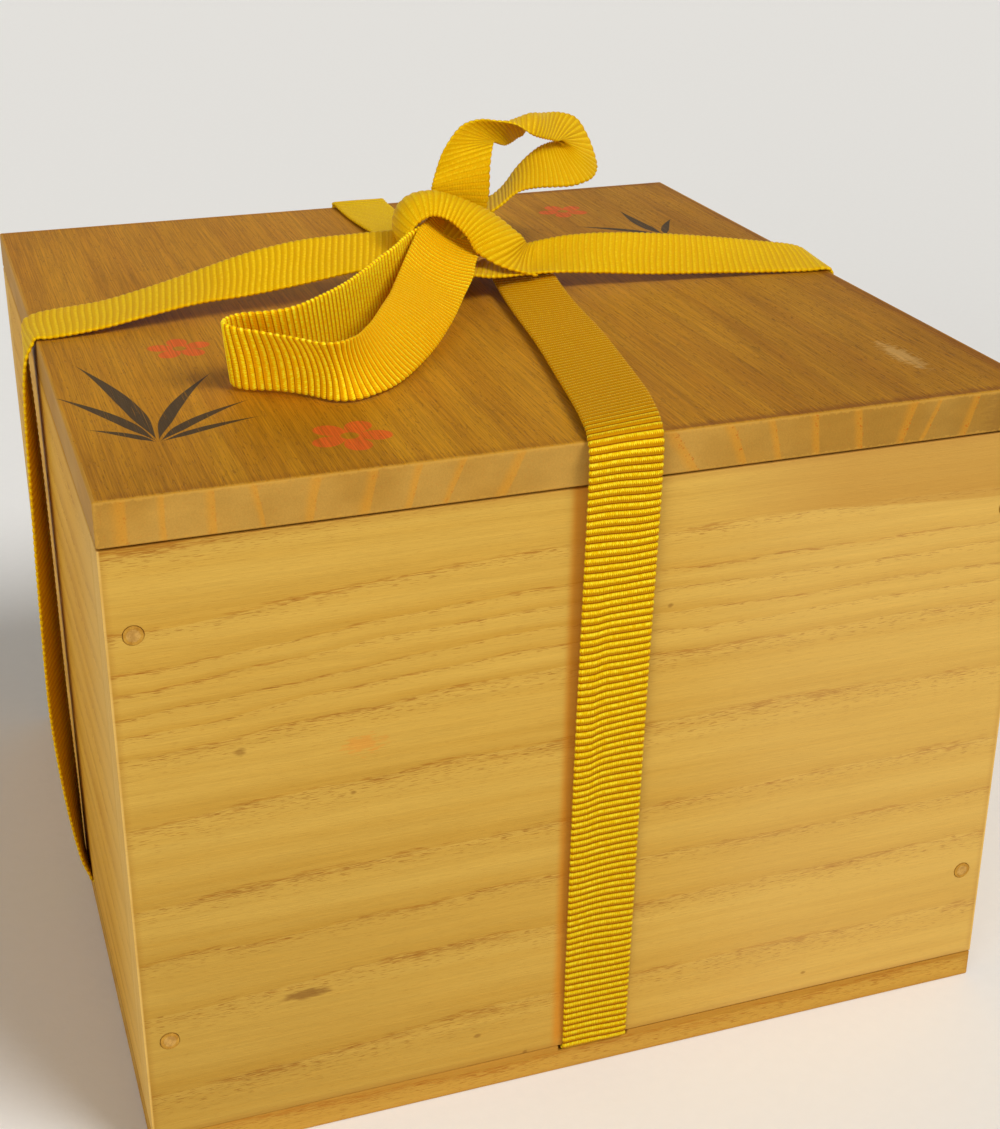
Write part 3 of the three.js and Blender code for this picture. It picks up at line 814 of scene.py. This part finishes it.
class Sweep:
    """A path through stations: its centre, the direction across it, its width and its crown,
    which is how far the middle stands out from the selvedges. The cloth is measured halfway from
    the middle to the selvedge that runs the longer way, as the other one gathers."""

    def __init__(self, stations):
        rows = []
        for station in stations:
            centre, across = station[:2]
            crown = station[2] if len(station) > 2 else 0.0
            width = np.linalg.norm(across)
            rows.append([*centre, *(np.array(across) / width), width, crown])
        path = smooth_path(rows)
        centre = path[:, :3]
        reach = unit(path[:, 3:6]) * path[:, 6:7] / 2
        self.path = path
        self.lengths = run_up(centre)
        self.length = self.lengths[-1]
        longer = np.maximum(np.diff(run_up(centre - reach)), np.diff(run_up(centre + reach)))
        steps = (longer + np.diff(self.lengths)) / 2
        self.cloth = np.concatenate([[0], np.cumsum(steps)])

    def read(self, spots):
        """The path's columns at distances along it."""
        return np.column_stack([np.interp(spots, self.lengths, column) for column in self.path.T])

    def at(self, spots):
        """Centre, along, across, through, width and crown at distances along the path."""
        step = 0.5
        ahead = self.read(np.minimum(spots + step, self.length))
        behind = self.read(np.maximum(spots - step, 0))
        along = unit(ahead[:, :3] - behind[:, :3])
        rows = self.read(spots)
        across = unit(rows[:, 3:6])
        through = unit(np.cross(along, across))
        return rows[:, :3], along, across, through, rows[:, 6], rows[:, 7]


def add_mesh(name, points, faces, material, uvs=None):
    """An object from points in millimetres. uvs holds one pair of numbers for each point."""
    mesh = bpy.data.meshes.new(name)
    mesh.from_pydata((points * MM).tolist(), [], faces)
    mesh.materials.append(material)
    if uvs is not None:
        layer = mesh.uv_layers.new(name="UVMap")
        corners = np.empty(len(mesh.loops), int)
        mesh.loops.foreach_get("vertex_index", corners)
        layer.data.foreach_set("uv", uvs[corners].ravel())
    mesh.shade_smooth()
    made = bpy.data.objects.new(name, mesh)
    bpy.context.collection.objects.link(made)
    return made


def rib_rows(length):
    """Where along a cloth the mesh has its rows, how high the rib is at each, and the number of
    ribs."""
    ribs = max(round(length / RIB_PITCH), 1)
    measured = [index + share for index in range(ribs) for share, _ in RIB_ROWS]
    measured = np.append(measured, ribs) * length / ribs
    heights = np.append([height for _ in range(ribs) for _, height in RIB_ROWS], 0.0)
    return measured, heights, ribs


def waver(spots, share, seed, calm, lag):
    """How far the ribs are shifted along the ribbon, in a column at a share of the way across."""
    shift = 0.12 * np.sin(spots * 0.06 + share * 2.4 + seed)
    shift = (shift + 0.07 * np.sin(spots * 0.23 + share * 3.1 + seed)) * calm
    if lag:
        middle, reach, size = lag
        held = 1 / (1 + math.exp((share + 0.42) * 14))
        shift = shift + size * held * np.exp(-((spots - middle) / reach) ** 2)
    return shift


def strip_faces(rows):
    """The faces of a closed strip: two sheets, of which the second one's points come after all
    of the first one's, the selvedges between them and the two ends."""
    count = rows * COLUMNS
    faces = []
    for row in range(rows - 1):
        left = row * COLUMNS
        right = left + COLUMNS - 1
        for a in range(left, right):
            b = a + COLUMNS
            faces.append((a, a + 1, b + 1, b))
            faces.append((count + a, count + b, count + b + 1, count + a + 1))
        faces.append((left, left + COLUMNS, count + left + COLUMNS, count + left))
        faces.append((right, count + right, count + right + COLUMNS, right + COLUMNS))
    for start in range(COLUMNS - 1):
        end = (rows - 1) * COLUMNS + start
        faces.append((start, count + start, count + start + 1, start + 1))
        faces.append((end, end + 1, count + end + 1, count + end))
    return faces


def ribbon(name, stations, cloth, seed=0.0, lag=None):
    """A closed, ribbed strip along stations, with scalloped selvedges and ribs that waver. It
    comes with the cloth's length. lag is (middle, reach, size): a stretch where one end of the
    ribs is held back."""
    rise = RIB_HEIGHT * (TAUT if cloth is TAUT_CLOTH else 1)
    flat = GROOVE_THICKNESS + RIB_HEIGHT - rise
    sweep = Sweep(stations)
    length = sweep.cloth[-1]
    measured, heights, ribs = rib_rows(length)
    spots = np.interp(measured, sweep.cloth, sweep.lengths)
    centre, along, across, through, width, crown = sweep.at(spots)
    half = width / 2 + SELVEDGE_SCALLOP * (heights - 0.5)
    ends = np.minimum(spots, sweep.length - spots)
    calm = np.minimum(ends / 8, 1)

    sheets = []
    for face in (1, -1):
        columns = []
        for share in SHARES:
            edge = 0.6 if abs(share) > 0.99 else 1.0
            thick = (flat + rise * heights) / 2 * edge
            lift = crown * (1 - share ** 2) + face * thick
            shift = waver(spots, share, seed, calm, lag)
            columns.append(
                centre + across * (share * half)[:, None] + along * shift[:, None]
                + through * lift[:, None])
        sheets.append(np.stack(columns, axis=1))
    points = np.concatenate([sheet.reshape(-1, 3) for sheet in sheets])

    rows = len(spots)
    u = np.tile(SHARES * RIBBON_WIDTH / 2, rows)
    v = np.repeat(measured * ribs * RIB_PITCH / length, COLUMNS)
    uvs = np.column_stack([np.tile(u, 2), np.tile(v, 2)])
    made = add_mesh(name, points, strip_faces(rows), cloth, uvs)
    return made, length


# Each station of a ribbon is its centre, then a vector from one selvedge to the other, then,
# where it isn't flat, its crown
FRONT_RUN = [
    ((17.5, 12, 127), (12, -1, 0.4)),
    ((15.8, 3, 125.4), (12.1, -1.6, 0.8)),
    ((13.5, -14, 124.6), (12.1, -1.4, 0.8)),
    ((10.9, -35, 124.8), (12.3, -1, 1.2)),
    ((7.8, -54, 125), (12.3, -0.8, 1.6)),
    ((5.2, -69, 125.2), (12.3, -0.6, 1.8)),
    ((3.7, -76, 125.2), (12.3, -0.4, 1.5)),
    ((3.1, -79.2, 124.8), (12.3, -0.4, 1.3)),
    ((2.6, -81.6, 123.9), (12.4, -0.5, 1)),
    ((2.4, -82.8, 122.3), (12.4, -0.4, 0.6)),
    ((2.3, -83.2, 119.6), (12.4, -0.2, 0.2)),
    ((2.3, -82.8, 111), (12.5, 0, 0)),
    ((1.3, -82.3, 70), (12.4, 0, 0)),
    ((0.6, -81.9, 30), (12.3, 0, 0)),
    ((0.35, -81.5, 10), (12.2, 0, 0)),
    ((0.3, -81.45, 6.2), (12.2, 0, 0)),
    ((0.3, -81.2, 5.2), (12.2, 0, 0)),
    ((0.3, -80.4, 4.95), (12.2, 0, 0)),
    ((0.3, -76, 4.95), (12.2, 0, 0)),
]
BACK_RUN = [
    ((9, 12, 128), (12, 0.5, 0)),
    ((8, 22, 126.5), (12, 0.5, 0)),
    ((4.5, 45, 124.3), (12, 0.8, 0)),
    ((2.8, 65, 123.6), (12, 0.5, 0)),
    ((2.5, 76.5, 123.6), (12, 0, 0)),
    ((2.4, 80.6, 123.9), (12, 0, 0)),
    ((2.3, 81.8, 123.5), (12, 0, 0)),
    ((2.3, 82.1, 122.2), (12, 0, 0)),
    ((2.2, 82.2, 112), (12, 0, 0)),
    ((1.2, 82, 70), (12, 0, 0)),
    ((0.4, 81.8, 30), (12, 0, 0)),
    ((0, 81.5, 10), (12, 0, 0)),
    ((0, 81.45, 6.2), (12, 0, 0)),
    ((0, 81.2, 5.2), (12, 0, 0)),
    ((0, 80.4, 4.95), (12, 0, 0)),
    ((0, 76, 4.95), (12, 0, 0)),
]
LEFT_RUN = [
    ((0, 8.5, 132), (2.4, 8, 3)),
    ((-8, 8.8, 132), (2.7, 9.4, 4)),
    ((-17.9, 9, 131.4), (2.9, 10.4, 4.7)),
    ((-28, 8.4, 130.7), (2.7, 10.4, 5.8)),
    ((-38, 7.6, 129.6), (2.3, 10.4, 5.4)),
    ((-48.4, 6.6, 128.2), (2.2, 11.2, 3.2)),
    ((-58, 5.6, 126.5), (1.9, 11.4, 2.1)),
    ((-67.4, 4.6, 125), (1.7, 11.8, 1.6)),
    ((-76.5, 4.2, 124.3), (1, 12, 1.6)),
    ((-79.8, 4.3, 123.95), (0.2, 12, 0.8)),
    ((-81, 4.6, 122.6), (-0.6, 12, 0.4)),
    ((-81.9, 4.7, 118), (1.2, 12, 0)),
    ((-82.2, 4.2, 108), (2.4, 11.8, 0)),
    ((-82.4, 3.8, 90), (3.3, 11.6, 0)),
    ((-82.7, 3.6, 70), (3.9, 11.4, 0)),
    ((-82.9, 3.6, 48), (4.2, 11.3, 0)),
    ((-82.5, 3.8, 33), (3.7, 11.5, 0)),
    ((-81.9, 4.2, 21), (2.8, 11.7, 0)),
    ((-81.2, 4.8, 11), (1.4, 12, 0)),
    ((-80.5, 5, 6.2), (0, 12, 0)),
    ((-80.2, 5, 5.2), (0, 12, 0)),
    ((-79.4, 5, 4.95), (0, 12, 0)),
    ((-75, 5, 4.95), (0, 12, 0)),
]
RIGHT_RUN = [
    ((2, -1, 128.4), (4.4, 10.6, -1.5)),
    ((5.1, 0.5, 128.5), (4.5, 11.1, -0.6)),
    ((8.4, 1.5, 128.4), (4.7, 11, 1)),
    ((12.2, 2.5, 128.6), (4.6, 10.8, 2.4), -0.5),
    ((16.8, 3.5, 128.8), (4.3, 10.8, 3.1), -1.2),
    ((21, 4, 128.9), (3.9, 10.7, 3.7), -1.2),
    ((26, 4, 128.9), (3.8, 10.3, 4.6), -0.6),
    ((34, 3.6, 128.5), (3.4, 9.5, 5.5)),
    ((43.5, 3, 127.7), (4, 9.9, 5.5)),
    ((56, 2.2, 126.6), (3.4, 10.5, 4.6)),
    ((68, 1.4, 125.4), (2.4, 11.2, 3.4)),
    ((76.2, 0.8, 124.6), (1.6, 11.8, 2.4)),
    ((79.8, 0.5, 124.0), (0.8, 12, 1)),
    ((81, 0.5, 122.6), (0.2, 12, 0.2)),
    ((81.1, 0.5, 118), (0, 12, 0)),
    ((81.8, 0.5, 100), (0, 12, 0)),
    ((82, 0.5, 60), (0, 12, 0)),
    ((81.4, 0.5, 25), (0, 12, 0)),
    ((80.6, 0.5, 10), (0, 12, 0)),
    ((80.45, 0.5, 6.2), (0, 12, 0)),
    ((80.2, 0.5, 5.2), (0, 12, 0)),
    ((79.4, 0.5, 4.95), (0, 12, 0)),
    ((75, 0.5, 4.95), (0, 12, 0)),
]
RUNS = {"front": FRONT_RUN, "back": BACK_RUN, "left": LEFT_RUN, "right": RIGHT_RUN}
# Where the front run's ribs are held back at their left ends: middle, reach and size
FRONT_LAG = (148, 24, 0.75)


def add_runs():
    """The ribbon from the knot over the lid's edge and down each wall, where it can stretch."""
    for index, (side, stations) in enumerate(RUNS.items()):
        lag = FRONT_LAG if side == "front" else None
        cloth = RUN_CLOTH_PAINTED_DARKER if side == "front" else TAUT_CLOTH
        piece, length = ribbon(f"ribbon_{side}", stations, cloth, index, lag)
        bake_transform(piece)
        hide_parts(f"ribbon_side_{side}", f"ribbon_top_{side}")


# The slots' places along their walls
FRONT_SLOT = 0.3
BACK_SLOT = 0.0
LEFT_SLOT = 5.0
RIGHT_SLOT = 0.5
# Heights of the ribbon's middle in a slot, on the base board and on top of the other ribbon
IN_SLOT = 4.95
ON_BASE = 6.15
ON_RIBBON = 7.15


def floor_stations(reach, start, end, crossing, station):
    """Stations from slot to slot over the base board. start and end are the slots' places,
    crossing is the height in the middle, and station makes one from (out, side, height)."""
    profile = [
        (-(reach - 5), IN_SLOT), (-(reach - 8.5), IN_SLOT), (-(reach - 20), ON_BASE),
        (-24, ON_BASE), (-8, crossing), (8, crossing), (24, ON_BASE), (reach - 20, ON_BASE),
        (reach - 8.5, IN_SLOT), (reach - 5, IN_SLOT),
    ]
    stations = []
    for out, height in profile:
        share = (out + reach) / (2 * reach)
        stations.append(station(out, start + (end - start) * share, height))
    return stations


def add_floor_ribbons():
    """The two ribbons inside, of which the one from left to right crosses on top."""
    def lengthways(out, side, height):
        return ((side, out, height), (12, 0, 0))

    def sideways(out, side, height):
        return ((out, side, height), (0, 12, 0))

    routes = {
        "front_back": floor_stations(HALF_DEPTH, FRONT_SLOT, BACK_SLOT, ON_BASE, lengthways),
        "left_right": floor_stations(HALF_WIDTH, LEFT_SLOT, RIGHT_SLOT, ON_RIBBON, sideways),
    }
    for name, stations in routes.items():
        piece, length = ribbon(f"ribbon_floor_{name}_cloth", stations, RUN_CLOTH_PAINTED_DARKER)
        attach(piece, "box")
        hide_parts(f"ribbon_floor_{name}")


FRONT_LOOP = [
    ((8, 15, 133), (-10.3, 1.4, 4), 1.5),
    ((5, 10, 134.6), (-10.4, 1.4, 5), 1.5),
    ((2, 5.4, 134.3), (-10.8, 1.8, 6), 1.4),
    ((-1.2, -0.3, 133.5), (-10.4, 4.2, 6), 1.3),
    ((-4, -6, 132.3), (-10.8, 4.6, 6), 1.5),
    ((-7.4, -11.9, 130.8), (-10.5, 4.6, 5.9), 0.9),
    ((-11.2, -19.3, 129.7), (-10.1, 4.4, 6), -0.2),
    ((-14.9, -26.6, 129.2), (-9.3, 3.6, 6.9), -0.7),
    ((-19.1, -34.3, 129), (-8.8, 1.8, 8.2), -0.4),
    ((-23.2, -41.1, 128.8), (-7.8, 0.6, 8.8), 0.3),
    ((-26.2, -45.4, 128.7), (-6.6, 0.2, 9.5), 0.6),
    ((-28.9, -48.7, 128.7), (-5.2, -0.3, 10), 1),
    ((-31.6, -51, 128.8), (-3.8, -0.8, 10.4), 1.2),
    ((-33.9, -52.3, 128.8), (-2.8, -1.1, 10.6), 1.2),
    ((-36.1, -52.4, 128.8), (-2.4, -1.4, 10.6), 1.2),
    ((-38.1, -51.4, 128.8), (-2.4, -1.5, 10.6), 1.2),
    ((-40.9, -48, 128.8), (-2.5, -1.4, 10.6), 1.2),
    ((-43.8, -45, 128.8), (-2.3, -1.3, 10.6), 1.1),
    ((-46.7, -43.3, 129), (-2, -1.4, 10.9), 0.9),
    ((-49.5, -42.1, 129.2), (-1.8, -1.6, 11.4), 0.4),
    ((-51.3, -40.6, 129.4), (-1.7, -2.3, 11.8)),
    ((-51.6, -38.4, 129.4), (-1.4, -2.4, 11.8)),
    ((-50.4, -36.2, 129.4), (-1.4, -2.6, 11.7)),
    ((-47.6, -34.6, 129.4), (-1.7, -2.7, 11.6)),
    ((-42.5, -34.5, 129.3), (-1.7, -2.7, 11.6)),
    ((-37.9, -33, 129.3), (-1.7, -2.7, 11.6)),
    ((-32.6, -28.4, 129.3), (-1.7, -2.7, 11.6)),
    ((-26.7, -22.2, 129.3), (-1.7, -2.7, 11.6)),
    ((-21.4, -15.6, 129.5), (-1.7, -2.7, 11.6)),
    ((-16.4, -9, 130), (-1.7, -2.7, 11.3)),
    ((-12, -4, 130.8), (-1.8, -2.4, 10.6)),
    ((-8, 1.5, 131.6), (-2, -2, 9.6)),
    ((-3, 7, 132.4), (-2, -2, 9)),
]
BACK_LOOP = [
    ((5, 12, 131.5), (10.5, -0.8, -1)),
    ((5.4, 14.2, 135.5), (11.6, -0.8, -1)),
    ((6.4, 14.8, 139.7), (11.9, -0.9, -0.7)),
    ((6.8, 15.2, 143.1), (11.8, -1, 1.9)),
    ((7.5, 16, 145.5), (11.6, -1, 3.1)),
    ((8.4, 17, 147.4), (11.7, 0.6, 2.6)),
    ((9.3, 18.2, 148.5), (11.7, 2.6, 0.8)),
    ((10.5, 19.4, 149.3), (11.2, 4, -1.5)),
    ((11.9, 20.6, 149.9), (10.4, 4.6, -3.7)),
    ((13.4, 21.6, 150.2), (9.5, 4.8, -5.5)),
    ((15.1, 22.6, 150.2), (8.6, 5.3, -6.5)),
    ((17.1, 23.6, 150.2), (7.6, 6.5, -6.7)),
    ((19.3, 24.8, 150), (6.6, 7.9, -6.1), 0.4),
    ((21.6, 26.2, 149.8), (5.6, 9.2, -5.2), 1.2),
    ((24, 27.6, 149.5), (5, 10.2, -3.9), 2.2),
    ((27.1, 29.5, 149.7), (4.1, 11.3, 1.1), 2.2),
    ((30.2, 31.2, 149.3), (4.8, 10.6, 2.8), 1),
    ((33.6, 33, 148.6), (6.2, 9.7, 3.4)),
    ((36.6, 34.2, 147.4), (7.9, 8.7, 2.6)),
    ((38.3, 34.3, 145.3), (9.4, 7, -1.2)),
    ((38.8, 33, 143.2), (9.6, 3.4, -5.2)),
    ((38.2, 31.6, 142.1), (7.6, -2.6, -6.8)),
    ((36.6, 30.3, 141.5), (4, -7.8, -7)),
    ((33.9, 29, 141.4), (0.8, -9.4, -7.4)),
    ((30.7, 27.7, 141.6), (-1.7, -9.7, -7)),
    ((27.7, 26.4, 141.6), (-2.9, -10, -6)),
    ((25, 25, 141.2), (-3.4, -10.6, -4.5)),
    ((22.8, 23.8, 140.6), (-3.6, -11, -3.1)),
    ((20.9, 22.6, 139.8), (-3.6, -11.3, -1.9)),
    ((19.2, 21.3, 138.9), (-3.6, -11.4, -0.9)),
    ((17.5, 20, 138), (-3.4, -11.5, -0.3)),
    ((15.4, 18.7, 137.1), (-3.4, -11.5, -0.1)),
    ((12.8, 17.2, 136.2), (-3.6, -11.2, -0.2)),
    ((8.5, 14, 134), (-4, -10.5, 0)),
    ((4, 11, 132), (-4, -10, 0)),
]
KNOT_TURN = [
    ((-4, 7, 128.6), (1.4, 10, -1)),
    ((-6.6, 7.5, 131.2), (1.3, 10.2, -0.8), 0.4),
    ((-7.9, 7.9, 134.2), (1, 10.4, -0.5), 0.8),
    ((-7.8, 8, 135.7), (0.4, 10.4, 0), 1.4),
    ((-7.2, 8.1, 137), (-0.2, 10.2, 0.8), 1.9),
    ((-6.2, 8.3, 138.4), (-0.4, 10, 1.5), 2.2),
    ((-4.8, 8.5, 139.3), (0, 9.8, 1.9), 2.4),
    ((-2.9, 8.7, 139.7), (1, 9.8, 1.7), 2.5),
    ((-0.8, 8.8, 139.6), (2.3, 9.6, 1.4), 2.5),
    ((1.4, 8.7, 139), (3.5, 9.4, 1.2), 2.4),
    ((3.6, 8.3, 138.2), (4.7, 8.9, 1.4), 2.3),
    ((5.7, 7.4, 137.2), (6.3, 8, 1.8), 2.1),
    ((7.4, 6.3, 136.1), (7.6, 7, 1.9), 1.9),
    ((8.7, 4.9, 134.8), (8.8, 5.9, 1.8), 1.7),
    ((9.7, 3.4, 133.5), (9.8, 4.4, 1.7), 1.4),
    ((10.6, 2.2, 132.5), (10.3, 3.6, 1.6), 1.1),
    ((11.7, 1.4, 131.5), (9.6, 5.2, 1.6), 0.8),
    ((13.1, 1.4, 130.5), (8.2, 7.4, 1.9), 0.4),
    ((14.8, 2, 129.7), (6.4, 9.4, 2.4), -0.2),
    ((16.8, 2.9, 129), (4.8, 10.4, 2.9), -0.9),
    ((19.2, 3.6, 128.3), (4, 10.7, 3.4), -1.4),
]
KNOT_CORE = [
    ((-3, 9, 127), (1, 9, 0)),
    ((-5.6, 9.4, 130), (1, 9, 0), 0.5),
    ((-5.2, 9.8, 133.4), (1.5, 9, 0), 1),
    ((-2.4, 10.4, 134.8), (2.5, 9, 0), 1),
    ((1.6, 10.6, 134), (4, 8.6, 0), 1),
    ((5.2, 10, 132), (5.5, 8, 0), 1),
    ((6.6, 9.2, 129.4), (6, 8, 0), 0.5),
    ((3, 8.4, 127.2), (4, 9, 0)),
    ((-1, 8.4, 127), (2, 9.4, 0)),
]


# Each piece of the bow: its stations, its cloth and the CAD solid that it stands for
BOW = {
    "bow_front_cloth": (FRONT_LOOP, BOW_CLOTH_PAINTED_BRIGHTER, "bow_loop_front"),
    "bow_back_cloth": (BACK_LOOP, TAUT_CLOTH, "bow_loop_back"),
    "knot_turn_cloth": (KNOT_TURN, TAUT_CLOTH, "bow_knot"),
    "knot_core_cloth": (KNOT_CORE, TAUT_CLOTH, "bow_knot"),
}


def add_bow():
    for name, (stations, cloth, solid) in BOW.items():
        piece, length = ribbon(name, stations, cloth)
        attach(piece, "lid")
        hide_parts(solid)


# Floor

FLOOR_REACH = 4000
FLOOR_WHITE = srgb(250, 248, 244)


def add_floor():
    """A pale floor with a faint grain."""
    g = Graph("pale_floor")
    x, y, z = g.place()
    grain = g.noise(x * 0.4, y * 0.4, z * 0.4, detail=3)
    colour = g.shade(FLOOR_WHITE, 0.985 + 0.03 * grain)
    material = g.finish(colour, 0.85, grain, 0.05)
    corners = [(-1, -1, 0), (1, -1, 0), (1, 1, 0), (-1, 1, 0)]
    floor = add_mesh("floor", np.array(corners) * FLOOR_REACH, [(0, 1, 2, 3)], material)


# The scene, put together

add_camera()
add_sun("key_light", direction=(0.45, -0.52, 0.73), strength=1.95, softness=26)
add_sun("fill_light", direction=(-0.72, -0.68, 0.1), strength=1.5, softness=40)
light_world(ambient=0.26, backdrop=0.9)
bpy.context.scene.view_settings.view_transform = "Standard"
dress_wood()
add_runs()
add_floor_ribbons()
add_bow()
add_floor()
